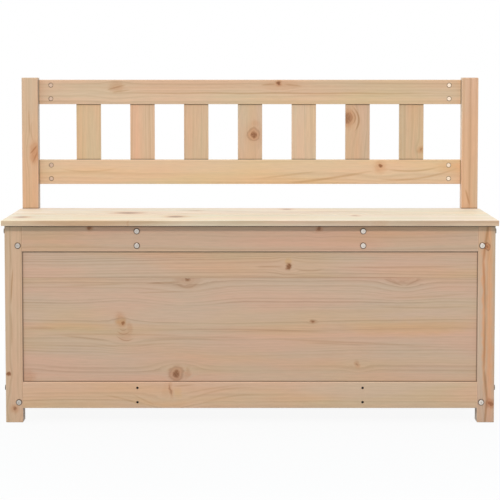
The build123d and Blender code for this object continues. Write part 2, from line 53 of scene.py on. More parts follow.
class Recipe:
    """Short words for the nodes that a finish is mixed from. A value is a number or a socket."""

    def __init__(self, tree):
        self.tree = tree

    def feed(self, socket, value):
        if isinstance(value, bpy.types.NodeSocket):
            self.tree.links.new(value, socket)
        else:
            socket.default_value = value

    def node(self, kind, inputs, **settings):
        made = self.tree.nodes.new("ShaderNode" + kind)
        for name, value in settings.items():
            setattr(made, name, value)
        for key, value in inputs.items():
            self.feed(made.inputs[key], value)
        return made

    def math(self, operation, *values):
        return self.node("Math", dict(enumerate(values)), operation=operation).outputs[0]

    def vector(self, operation, *values):
        made = self.node("VectorMath", dict(enumerate(values)), operation=operation)
        return made.outputs["Value" if operation in ("LENGTH", "DOT_PRODUCT") else "Vector"]

    def fade(self, value, start, end, low=0.0, high=1.0):
        """Goes smoothly from low to high while the value goes from start to end."""
        ends = {"Value": value, "From Min": start, "From Max": end, "To Min": low, "To Max": high}
        return self.node("MapRange", ends, interpolation_type="SMOOTHSTEP").outputs["Result"]

    def noise(self, place, detail=2.0, roughness=0.5):
        inputs = {"Vector": place, "Scale": 1.0, "Detail": detail, "Roughness": roughness}
        return self.node("TexNoise", inputs).outputs

    def mix(self, share, under, over, blend="MIX"):
        inputs = {0: share, 6: under, 7: over}
        return self.node("Mix", inputs, data_type="RGBA", blend_type=blend).outputs[2]

    def part(self, place, axis):
        """One coordinate, as a dot product, which takes less room in a large finish than a split."""
        return self.vector("DOT_PRODUCT", place, AXES[axis])

    def split(self, place):
        return self.node("SeparateXYZ", {0: place}).outputs

    def effect(self, group, **inputs):
        made = self.tree.nodes.new("ShaderNodeGroup")
        made.node_tree = group
        for label, value in inputs.items():
            self.feed(made.inputs[label], value)
        return made.outputs


def new_effect(name, takes, gives):
    """An empty shader node group with named inputs and outputs."""
    tree = bpy.data.node_groups.new(name, "ShaderNodeTree")
    for label, kind in takes.items():
        tree.interface.new_socket(label, in_out="INPUT", socket_type="NodeSocket" + kind)
    for label, kind in gives.items():
        tree.interface.new_socket(label, in_out="OUTPUT", socket_type="NodeSocket" + kind)
    source = tree.nodes.new("NodeGroupInput").outputs
    result = tree.nodes.new("NodeGroupOutput").inputs
    return Recipe(tree), source, result


GLUE_LINE = (0.9 * MM, 0.2 * MM)  # distance from the seam where the line starts and where it is full


def glue_joint_effect():
    """Boards glued edge to edge: past the seam the wood is another board, cut elsewhere in the tree."""
    takes = {"Place": "Vector", "Seam": "Float", "Shift": "Vector", "Line": "Float"}
    r, take, give = new_effect("Glue joint", takes, {"Place": "Vector", "Line": "Float"})
    across = r.part(take["Place"], 1)
    past = r.math("GREATER_THAN", across, take["Seam"])
    moved = r.vector("SCALE", take["Shift"])
    r.feed(moved.node.inputs["Scale"], past)
    r.feed(give["Place"], r.vector("ADD", take["Place"], moved))
    gap = r.math("ABSOLUTE", r.math("SUBTRACT", across, take["Seam"]))
    r.feed(give["Line"], r.math("MAXIMUM", take["Line"], r.fade(gap, *GLUE_LINE)))
    return r.tree


# A knot's distances are shares of its radius: where a tone starts, and where it is full.
KNOT_FADE = (1.5, 0.35)
CORE_FADE = (1.0, 0.35)
RIM_OUTSIDE = (1.2, 0.98)
RIM_INSIDE = (0.72, 0.95)
KNOT_RINGS = 17.0       # turn of the faint rings' wave over one radius, in radians
KNOT_RING_DEPTH = 0.09
CRACK_PAIRS = 2.0
CRACK_FADE = (0.0, 0.5, 0.55, 1.0)  # from a crack to the wood beside it, and what each keeps of the core
BELL_TOP = math.sqrt(2 * math.e)    # makes the highest value of x times its bell curve one


def knot_effect():
    """A branch right through the board: a leaning ellipse of darker wood, with faint rings, a rim and a
    core that four cracks split. It parts the growth rings to both sides, by the distance across the grain
    times a bell curve round it."""
    takes = {"Place": "Vector", "Centre": "Vector", "Size": "Vector", "Swell": "Vector",
             "Lift": "Float", "Lean": "Vector", "Red": "Float", "Dark": "Float", "Core": "Float",
             "Rim": "Float", "From": "Float", "To": "Float", "Pull": "Float", "Knot": "Float",
             "Bark": "Float"}
    gives = {"Pull": "Float", "Knot": "Float", "Bark": "Float"}
    r, take, give = new_effect("Knot", takes, gives)
    offset = r.vector("SUBTRACT", take["Place"], take["Centre"])
    above = r.part(offset, 1)
    own = r.math("MULTIPLY", r.math("GREATER_THAN", above, take["From"]),
                 r.math("LESS_THAN", above, take["To"]))
    swell = r.vector("DIVIDE", offset, take["Swell"])
    bell = r.math("EXPONENT", r.math("MULTIPLY", r.vector("DOT_PRODUCT", swell, swell), -1.0))
    parted = r.math("MULTIPLY", r.math("MULTIPLY", r.part(swell, 1), bell), -BELL_TOP)
    pull = r.math("MULTIPLY", r.math("MULTIPLY", parted, take["Lift"]), own)
    r.feed(give["Pull"], r.math("ADD", take["Pull"], pull))
    shear = r.vector("SCALE", take["Lean"])
    r.feed(shear.node.inputs["Scale"], above)
    round_it = r.vector("DIVIDE", r.vector("SUBTRACT", offset, shear), take["Size"])
    reach = r.vector("LENGTH", round_it)
    wave = r.math("SINE", r.math("MULTIPLY", reach, KNOT_RINGS))
    rings = r.math("MULTIPLY_ADD", wave, KNOT_RING_DEPTH, 1.0 - KNOT_RING_DEPTH)
    body = r.math("MULTIPLY", r.fade(reach, *KNOT_FADE), rings)
    red = r.math("MULTIPLY", r.math("MULTIPLY", body, take["Red"]), own)
    r.feed(give["Knot"], r.math("MAXIMUM", take["Knot"], red))
    angle = r.math("ARCTAN2", r.part(round_it, 1), r.part(round_it, 0))
    turns = r.math("COSINE", r.math("MULTIPLY", angle, CRACK_PAIRS))
    cracks = r.fade(r.math("ABSOLUTE", turns), *CRACK_FADE)
    core = r.math("MULTIPLY", r.fade(r.math("DIVIDE", reach, take["Core"]), *CORE_FADE), cracks)
    rim = r.math("MULTIPLY", r.fade(reach, *RIM_INSIDE), r.fade(reach, *RIM_OUTSIDE))
    bark = r.math("MULTIPLY_ADD", core, take["Dark"], r.math("MULTIPLY", rim, take["Rim"]))
    dark = r.math("MULTIPLY", bark, own)
    r.feed(give["Bark"], r.math("MAXIMUM", take["Bark"], dark))
    return r.tree


STREAK_WAVE = 0.169  # length of the slow waves in a resin line, m


def streak_effect():
    """A long thin line of resin along the grain: it follows a parabola with a slow cosine wave on it,
    and fades to its sides and, late, to its ends: the square of the share of its length and the share
    of its width are the two sides of a right triangle, whose third side is the fade."""
    takes = {"Place": "Vector", "Centre": "Vector", "Length": "Float", "Width": "Float",
             "Slope": "Float", "Bend": "Float", "Wave": "Float", "Strength": "Float", "Streak": "Float"}
    r, take, give = new_effect("Streak", takes, {"Streak": "Float"})
    offset = r.vector("SUBTRACT", take["Place"], take["Centre"])
    along = r.part(offset, 0)
    across = r.part(offset, 1)
    rise = r.math("MULTIPLY_ADD", along, take["Bend"], take["Slope"])
    swing = r.math("COSINE", r.math("MULTIPLY", along, 2 * math.pi / STREAK_WAVE))
    path = r.math("MULTIPLY_ADD", rise, along, r.math("MULTIPLY", swing, take["Wave"]))
    width = r.math("DIVIDE", r.math("SUBTRACT", across, path), take["Width"])
    length = r.math("POWER", r.math("ABSOLUTE", r.math("DIVIDE", along, take["Length"])), 4.0)
    reach = r.math("SQRT", r.math("MULTIPLY_ADD", width, width, length))
    line = r.math("MULTIPLY", r.fade(reach, 1.0, 0.0), take["Strength"])
    r.feed(give["Streak"], r.math("MAXIMUM", take["Streak"], line))
    return r.tree


SEAT_RING = (1.28, 1.08)  # radii of the fastener where the painted ring of shade starts and where it is full


def seat_effect():
    """Painted shade round a bolt head or a nut, where its rim and contact shadow fall: a ring that fades
    over the distance from the fastener's axis, given in radii of the fastener."""
    takes = {"Place": "Vector", "Centre": "Vector", "Size": "Vector", "Seat": "Float"}
    r, take, give = new_effect("Fastener seat", takes, {"Seat": "Float"})
    offset = r.vector("SUBTRACT", take["Place"], take["Centre"])
    reach = r.vector("LENGTH", r.vector("DIVIDE", offset, take["Size"]))
    r.feed(give["Seat"], r.math("MAXIMUM", take["Seat"], r.fade(reach, *SEAT_RING)))
    return r.tree


# Waves per metre along and across the grain.
SLOW_WAVES = (1.6, 9.0)
MIDDLING_WAVES = (4.5, 22.0)
QUICK_WAVES = (7.0, 55.0)
PATCHES = (2.6, 30.0)
FIBRES = (28.0, 620.0)
WARM_CLOUDS = (3.2, 17.0)
SAP_CLOUDS = (2.1, 13.0)

MIDDLING_SHARE = 0.30     # what the quicker waves add to the slow wander of the rings
QUICK_SHARE = 0.12
LUCK_PACE = 0.31          # how quickly wide and narrow years follow each other
LUCK_SHARE = 2.4
LATE_RISE = (0.2, 0.85)   # the part of a year in which its ring darkens
LATE_END = (1.0, 0.84)
BOLD_BEND = 1.5           # most rings are faint and a few are bold
BOLD_RANGE = 1.2
BOLD_LEAST = 0.15
PATCH_FADE = (0.3, 0.6, 0.35, 1.1)  # the rings weaken and strengthen in patches
WARM_FADE = (0.34, 0.66)
SAP_FADE = (0.42, 0.68)
FIBRE_FADE = (0.3, 0.7)
GOOD_YEAR = (1.03, 0.995, 0.985, 1.0)
POOR_YEAR = (0.97, 0.99, 0.985, 1.0)
WARM_WOOD = (1.05, 0.975, 0.955, 1.0)
COOL_WOOD = (0.975, 1.02, 1.01, 1.0)
WHITE_SAP = (1.0, 1.0, 1.02, 1.0)
YELLOW_SAP = (1.01, 0.985, 0.88, 1.0)
EARLY_WOOD = (1.05, 1.06, 1.07, 1.0)
LATE_WOOD = (0.80, 0.72, 0.65, 1.0)
DULL_FIBRE = grey(0.955)
BRIGHT_FIBRE = grey(1.04)


def pine_effect():
    """Solid pine: rings round the heart of the tree, whose radius is the distance from the pith plus the
    pull of the knots plus slow noise drawn out along the grain. Each ring darkens slowly from early to
    late wood and ends sharply, and each has its own strength. Fine noise gives the fibres."""
    takes = {"Place": "Vector", "Pull": "Float", "Pith": "Vector", "Ring": "Float", "Waver": "Float",
             "Seed": "Vector", "Tone": "Color", "Contrast": "Float"}
    gives = {"Colour": "Color", "Late": "Float", "Fibre": "Float"}
    r, take, give = new_effect("Pine", takes, gives)
    place = take["Place"]

    def drawn_out(waves):
        along, across = waves
        stretched = r.vector("MULTIPLY", place, (along, across, across))
        return r.vector("ADD", stretched, take["Seed"])

    def sway(waves, detail):
        return r.math("SUBTRACT", r.noise(drawn_out(waves), detail)["Fac"], 0.5)

    slow = sway(SLOW_WAVES, 1.0)
    quick = sway(QUICK_WAVES, 2.0)
    middling = sway(MIDDLING_WAVES, 1.0)
    wander = r.math("MULTIPLY_ADD", middling, MIDDLING_SHARE, slow)
    wander = r.math("MULTIPLY_ADD", quick, QUICK_SHARE, wander)
    from_pith = r.vector("MULTIPLY", r.vector("SUBTRACT", place, take["Pith"]), (0.0, 1.0, 1.0))
    radius = r.math("ADD", r.vector("LENGTH", from_pith), take["Pull"])
    radius = r.math("MULTIPLY_ADD", wander, take["Waver"], radius)
    even = r.math("DIVIDE", radius, take["Ring"])
    uneven = {"W": r.math("MULTIPLY_ADD", even, LUCK_PACE, r.split(take["Seed"])[0]), "Scale": 1.0}
    luck = r.node("TexNoise", uneven, noise_dimensions="1D").outputs["Fac"]
    years = r.math("MULTIPLY_ADD", luck, LUCK_SHARE, even)
    year = r.math("FLOOR", years)
    season = r.math("SUBTRACT", years, year)
    late = r.math("MULTIPLY", r.fade(season, *LATE_RISE), r.fade(season, *LATE_END))
    own = r.node("TexWhiteNoise", {"W": r.math("ADD", year, r.split(take["Seed"])[1])},
                 noise_dimensions="1D").outputs
    bold = r.math("MULTIPLY_ADD", r.math("POWER", own["Value"], BOLD_BEND), BOLD_RANGE, BOLD_LEAST)
    patch = r.noise(drawn_out(PATCHES), 1.0)["Fac"]
    bold = r.math("MULTIPLY", bold, r.fade(patch, *PATCH_FADE))
    late = r.math("MULTIPLY", late, bold)
    good = r.mix(own["Value"], GOOD_YEAR, POOR_YEAR)
    fibre = r.noise(drawn_out(FIBRES), 3.0, 0.6)["Fac"]
    cloud = r.noise(drawn_out(WARM_CLOUDS), 2.0)["Fac"]
    warm = r.mix(r.fade(cloud, *WARM_FADE), WARM_WOOD, COOL_WOOD)
    sap = r.noise(drawn_out(SAP_CLOUDS), 2.0)["Color"]
    yellow = r.mix(r.fade(r.split(sap)[1], *SAP_FADE), WHITE_SAP, YELLOW_SAP)
    ring = r.mix(r.math("MULTIPLY", late, take["Contrast"]), EARLY_WOOD, LATE_WOOD)
    strands = r.mix(r.fade(fibre, *FIBRE_FADE), DULL_FIBRE, BRIGHT_FIBRE)
    colour = take["Tone"]
    for tint in (warm, yellow, ring, good, strands):
        colour = r.mix(1.0, colour, tint, "MULTIPLY")
    r.feed(give["Colour"], colour)
    r.feed(give["Late"], late)
    r.feed(give["Fibre"], fibre)
    return r.tree


def eased_edge_effect():
    """How near a point of a board's surface is to one of its edges: of the three distances to the pairs
    of opposite faces the smallest is nought, and the middle one is the distance to the edge."""
    takes = {"Place": "Vector", "Centre": "Vector", "Half": "Vector", "Width": "Float"}
    r, take, give = new_effect("Eased edge", takes, {"Edge": "Float"})
    inward = r.vector("ABSOLUTE", r.vector("SUBTRACT", take["Place"], take["Centre"]))
    a, b, c = r.split(r.vector("SUBTRACT", take["Half"], inward))
    lower = r.math("MINIMUM", a, b)
    middle = r.math("MAXIMUM", lower, r.math("MINIMUM", r.math("MAXIMUM", a, b), c))
    r.feed(give["Edge"], r.fade(middle, take["Width"], 0.0))
    return r.tree


def framed_border_effect():
    """How near a point of a panel is to the frame round it: the smaller of its distances to the frame's
    edges along and across the grain."""
    takes = {"Place": "Vector", "Centre": "Vector", "Half": "Vector", "Width": "Float"}
    r, take, give = new_effect("Framed border", takes, {"Border": "Float"})
    inward = r.vector("ABSOLUTE", r.vector("SUBTRACT", take["Place"], take["Centre"]))
    along, across, _ = r.split(r.vector("SUBTRACT", take["Half"], inward))
    r.feed(give["Border"], r.fade(r.math("MINIMUM", along, across), take["Width"], 0.0))
    return r.tree


GLUE_JOINT = glue_joint_effect()
KNOT = knot_effect()
STREAK = streak_effect()
PINE = pine_effect()
SEAT = seat_effect()
EASED_EDGE = eased_edge_effect()
FRAMED_BORDER = framed_border_effect()

# Tints that the wood's colour is multiplied by: painted shade and a painted highlight, then the wood's
# own marks.
# painted shade where panels and slats meet their frames, and under the lid's overhang
FRAME_SHADE = (0.30, 0.288, 0.26, 1.0)
# painted shade round bolt heads and nuts, and in the gap where the posts meet the seat
FASTENER_AND_JOINT_SHADE = (0.50, 0.48, 0.46, 1.0)
# painted highlight along the eased edges
EDGE_HIGHLIGHT = (1.10, 1.105, 1.11, 1.0)
RESIN = (0.70, 0.58, 0.43, 1.0)
YELLOW = (1.02, 0.95, 0.76, 1.0)
ORANGE = (1.17, 0.84, 0.62, 1.0)
KNOT_WOOD = (0.82, 0.60, 0.45, 1.0)
KNOT_BARK = (0.42, 0.30, 0.18, 1.0)
GLUE = (0.86, 0.80, 0.74, 1.0)
END_GRAIN = (0.86, 0.79, 0.70, 1.0)

# width of the painted shade line along a frame
FRAME_SHADE_WIDTH = 3.4 * MM
EDGE_WIDTH = 3.0 * MM
STREAK_FADE = 1.5                  # a resin line has faded out at this many half widths
STIR_WAVES = (55.0, 90.0, 90.0)    # waves per metre that make the outlines of knots and stains uneven
STIR_REACH = (0.014, 0.011, 0.0)   # how far they move a point, in m
FACING_END = (0.75, 0.95)          # turn of a normal along the grain where end grain starts and is full
FACING_FRONT = (0.5, 0.8)          # how far it turns out of the board there, for the face
FACING_SIDE = (0.8, 0.5)           # and for the sides
SANDED = (0.47, 0.57)              # roughness of the fibres
KNOT_ROUGH = -0.10                 # what else adds to the roughness or takes from it
END_ROUGH = 0.20
EDGE_ROUGH = -0.06
PINE_IOR = 1.45
FUZZ = 0.25                        # pale sheen of sanded pine, seen at a flat angle
FUZZ_SPREAD = 0.45
LATE_RELIEF = 0.5                  # height of the late wood, if that of the fibres is one
GLUE_RELIEF = -0.8
GRAIN_BUMP = 0.35
GRAIN_DEPTH = 0.25 * MM


def new_finish(name):
    """An empty material and the recipe of its tree; returns its shader too."""
    finish = bpy.data.materials.new(name)
    finish.use_nodes = True
    r = Recipe(finish.node_tree)
    return finish, r, finish.node_tree.nodes["Principled BSDF"]


def knot(along, across, size, lift, red=0.8, dark=0.9, core=0.5, swell=(3.2, 1.9), stretch=1.0,
         own=(-ALL, ALL), lean=0.0, rim=0.0):
    """The values of one knot. Its place and size are in mm along and across the grain, lift is how far it
    parts the rings, red and dark are the strength of its wood and of its core, and core is the dark share
    of its radius. swell is how far the parting reaches, in radii, own the range across the grain of the
    board that it grew in, lean how far it shifts along the grain for its height across it, and rim how
    dark the ring round it is."""
    half = (size * stretch * MM, size * MM, DEEP)
    wide = (size * swell[0] * MM, size * swell[1] * MM, DEEP)
    return {"Centre": (along * MM, across * MM, 0), "Size": half, "Swell": wide, "Lift": lift * MM,
            "Lean": (lean, 0, 0), "Red": red, "Dark": dark, "Core": core, "Rim": rim,
            "From": (own[0] - across) * MM, "To": (own[1] - across) * MM}


def streak(points, width, strength, wave=0.0):
    """The values of one resin line through two or three points, along and across the grain in mm, with
    its half width and its strength. Three points make a parabola, and wave is the reach of its waves."""
    along, across = np.array(points, float).T * MM
    middle = (along[0] + along[-1]) / 2
    curve = np.polyfit(along - middle, across, len(points) - 1)
    bend = curve[0] if len(points) == 3 else 0.0
    half = abs(along[-1] - along[0]) / 2
    return {"Centre": (middle, curve[-1], 0), "Length": half, "Width": STREAK_FADE * width * MM,
            "Slope": curve[-2], "Bend": bend, "Wave": wave * MM, "Strength": strength}


def seat(along, across, radius, out=None):
    """The values of the seat of a bolt or nut that goes in through the face, or, if out is given in
    the place of across, through the side of the board, in mm."""
    if out is None:
        return {"Centre": (along * MM, across * MM, 0), "Size": (radius * MM, radius * MM, DEEP)}
    return {"Centre": (along * MM, 0, out * MM), "Size": (radius * MM, DEEP, radius * MM)}


def pine_finish(node, lie, tone, pith, ring=7.0, waver=20.0, contrast=0.6, seams=(), knots=(), streaks=(),
                stains=(), stain=YELLOW, seats=(), window=None, sides=None, inner_light=None):
    """The finish of one board. lie is how it lies, and pith where the heart of the tree runs from the
    board's middle, in mm across the face and out of it. ring is the width of a year and waver how far the
    rings wander, in mm, and contrast how dark they are. seams, knots, streaks and stains are where the
    board has them, and stain is the tint of its stains; seats are where painted shade rings its
    fasteners.
    window is the part that its frame or the lid leaves free, along and across in mm, round whose edge a
    line of shade is painted; sides is the tint of its narrow sides, and inner_light the painted light or
    shade on the side towards the middle of the bench."""
    finish, r, shader = new_finish("pine_" + node)
    along, across = Vector(lie[0]), Vector(lie[1])
    turn = Matrix((along, across, along.cross(across))).transposed()
    low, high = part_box(node)
    centre = turn.transposed() @ ((low + high) / 2)
    half = turn.transposed() @ ((high - low) / 2)
    half = Vector([abs(side) for side in half])
    draw = random.Random(node)
    seed = tuple(draw.uniform(0, 60) for _ in range(3))

    source = r.node("TexCoord", {}).outputs
    laid = {"Rotation": turn.to_euler()}
    place = r.node("Mapping", {"Vector": source["Object"], **laid}, vector_type="TEXTURE").outputs[0]
    facing = r.node("Mapping", {"Vector": source["Normal"], **laid}, vector_type="TEXTURE").outputs[0]
    faced = r.split(r.vector("ABSOLUTE", facing))
    end = r.fade(faced[0], *FACING_END)

    stir = r.noise(r.vector("MULTIPLY", place, STIR_WAVES), 2.0)["Color"]
    stir = r.vector("MULTIPLY", r.vector("SUBTRACT", stir, (0.5, 0.5, 0.5)), STIR_REACH)
    face = r.vector("ADD", place, stir)
    marks = {"Pull": 0.0, "Knot": 0.0, "Bark": 0.0}
    outward = -math.copysign(1.0, pith[0])
    for values in knots:
        parting = {**values, "Lift": outward * values["Lift"]}
        made = r.effect(KNOT, Place=face, **parting, **marks)
        marks = {label: made[label] for label in marks}
    lines = 0.0
    for values in streaks:
        lines = r.effect(STREAK, Place=place, **values, Streak=lines)["Streak"]
    stained = 0.0
    for values in stains:
        stained = r.effect(STREAK, Place=face, **values, Streak=stained)["Streak"]
    fastener_shade = 0.0
    for values in seats:
        fastener_shade = r.effect(SEAT, Place=place, **values, Seat=fastener_shade)["Seat"]
    wood = place
    glue = 0.0
    for seam in seams:
        shift = (draw.uniform(0.5, 2.0), draw.uniform(-0.08, 0.08), draw.uniform(-0.03, 0.03))
        made = r.effect(GLUE_JOINT, Place=wood, Seam=seam * MM, Shift=shift, Line=glue)
        wood = made["Place"]
        glue = made["Line"]

    heart = (0.0, centre[1] + pith[0] * MM, centre[2] + pith[1] * MM)
    board = r.effect(PINE, Place=wood, Pull=marks["Pull"], Pith=heart, Ring=ring * MM, Waver=waver * MM,
                     Seed=seed, Tone=paint(*tone), Contrast=contrast)
    edge = r.effect(EASED_EDGE, Place=place, Centre=centre, Half=half, Width=EDGE_WIDTH)["Edge"]

    colour = board["Colour"]
    if sides:
        colour = r.mix(r.fade(faced[2], *FACING_SIDE), colour, sides, "MULTIPLY")
    # painted light or shade on the side that faces the middle of the bench
    if inner_light:
        inward = r.math("MULTIPLY", r.split(facing)[1], -math.copysign(1.0, centre[1]))
        colour = r.mix(r.fade(inward, *FACING_FRONT), colour, inner_light, "MULTIPLY")
    if stains:
        colour = r.mix(stained, colour, stain, "MULTIPLY")
    if streaks:
        colour = r.mix(lines, colour, RESIN, "MULTIPLY")
    if knots:
        colour = r.mix(marks["Knot"], colour, KNOT_WOOD, "MULTIPLY")
        colour = r.mix(marks["Bark"], colour, KNOT_BARK, "MULTIPLY")
    if seams:
        colour = r.mix(glue, colour, GLUE, "MULTIPLY")
    colour = r.mix(end, colour, END_GRAIN, "MULTIPLY")
    # painted highlight along the eased edges
    colour = r.mix(edge, colour, EDGE_HIGHLIGHT, "MULTIPLY")
    # painted shade round the fasteners and at the posts' joint with the seat
    if seats:
        colour = r.mix(fastener_shade, colour, FASTENER_AND_JOINT_SHADE, "MULTIPLY")
    # painted shade along the frame's edges: the shadow and gap where a panel or slat meets its frame, and
    # the shadow under the lid
    if window:
        low_end, high_end, low_side, high_side = (MM * edge_mm for edge_mm in window)
        middle = ((low_end + high_end) / 2, (low_side + high_side) / 2, 0.0)
        reach = ((high_end - low_end) / 2, (high_side - low_side) / 2, 0.0)
        framed = r.effect(FRAMED_BORDER, Place=place, Centre=middle, Half=reach, Width=FRAME_SHADE_WIDTH)
        border = r.math("MULTIPLY", framed["Border"], r.fade(faced[2], *FACING_FRONT))
        colour = r.mix(border, colour, FRAME_SHADE, "MULTIPLY")
    r.feed(shader.inputs["Base Color"], colour)

    rough = r.fade(board["Fibre"], *FIBRE_FADE, *SANDED)
    if knots:
        rough = r.math("MULTIPLY_ADD", marks["Knot"], KNOT_ROUGH, rough)
    rough = r.math("MULTIPLY_ADD", end, END_ROUGH, rough)
    r.feed(shader.inputs["Roughness"], r.math("MULTIPLY_ADD", edge, EDGE_ROUGH, rough))
    shader.inputs["IOR"].default_value = PINE_IOR
    shader.inputs["Sheen Weight"].default_value = FUZZ
    shader.inputs["Sheen Roughness"].default_value = FUZZ_SPREAD

    height = r.math("MULTIPLY_ADD", board["Late"], LATE_RELIEF, board["Fibre"])
    if seams:
        height = r.math("MULTIPLY_ADD", glue, GLUE_RELIEF, height)
    bump = r.node("Bump", {"Height": height, "Strength": GRAIN_BUMP, "Distance": GRAIN_DEPTH})
    r.feed(shader.inputs["Normal"], bump.outputs[0])
    return finish


def scattered_knots(node, lie, count, size):
    """Knots for a board that the photograph doesn't show, drawn with the board's name as the seed: one in
    each of as many equal lengths of the board. Their usual radius is size, in mm."""
    draw = random.Random("knots of " + node)
    low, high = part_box(node)
    along, across = Vector(lie[0]), Vector(lie[1])
    start, length = low.dot(along) / MM, (high - low).dot(along) / MM
    side, width = low.dot(across) / MM, (high - low).dot(across) / MM
    made = []
    for step in range(count):
        place = start + length * (step + draw.uniform(0.15, 0.85)) / count
        height = side + width * draw.uniform(0.12, 0.88)
        reach = size * draw.uniform(0.5, 1.2)
        lift = draw.uniform(6, 14)
        red = draw.uniform(0.4, 0.9)
        dark = draw.uniform(0.2, 1.0)
        made.append(knot(place, height, reach, lift, red, dark))
    return made


# Places on the bench, in mm: heights above the floor and distances from the middle.
SEAM_Z = 321.4          # the glue joint of the front panel
BELOW_SEAM = (0, SEAM_Z)
UNDER_LID = 436.0       # painted shade lies on the frame above this height, under the lid
LEG_BOLTS = (45.0, 393.0)
RAIL_BOLTS = (77.0, 425.0)
BEARER_BOLTS = (393.0, 425.0)
LOW_NUTS = (520.0, 552.0)
HIGH_NUTS = (710.0, 742.0)
LEG_BOLT_X = 511.0
BEARER_X = 249.0
NUT_X = 473.0
POST_X = 521.0
BOLT_RADIUS = 6.0
NUT_RADIUS = 5.0
JOINT_HEIGHT = 1.7      # reach of the painted shade at the joint of a post and the seat, up and to the back
JOINT_DEPTH = 14.0
BACKREST_FREE = (-502, 502, -ALL, ALL)  # the parts of boards that their frames or the lid leave free; shade is painted along their edges
PANEL_FREE = (-502, 502, 90, 380)
SIDE_PANEL_FREE = (-133.1, 150.9, 90, 380)
SLAT_FREE = (565, 697, -ALL, ALL)
RAIL_FREE = (-ALL, ALL, -ALL, UNDER_LID)
LEG_FREE = (-ALL, UNDER_LID, -ALL, ALL)


def seat_rows(distance, heights, radius):
    """Seats in the face of a long rail, to the left and right of its middle and at each height."""
    return [seat(side * distance, height, radius) for side in (-1, 1) for height in heights]


def upright_seats(side, face_heights, side_heights, line):
    """Seats of a leg or a post: in its face at the heights, and in its outer side on the line, in mm."""
    in_face = [seat(height, side * LEG_BOLT_X, BOLT_RADIUS) for height in face_heights]
    return in_face + [seat(height, None, BOLT_RADIUS, line) for height in side_heights]


def seat_joint(side):
    """Painted shade of the gap where the left or right post stands in the notch of the seat board: a flat
    ellipse round the line where the post's front meets the seat's top."""
    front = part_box("back_post_left")[0].y
    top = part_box("fixed_seat_board")[1].z
    size = (JOINT_HEIGHT * MM, DEEP, JOINT_DEPTH * MM)
    return {"Centre": (top, side * POST_X * MM, front), "Size": size}


def rail_line(node):
    """How far back a row of bolts through the uprights lies, in mm."""
    low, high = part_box(node)
    return (low.y + high.y) / 2 / MM


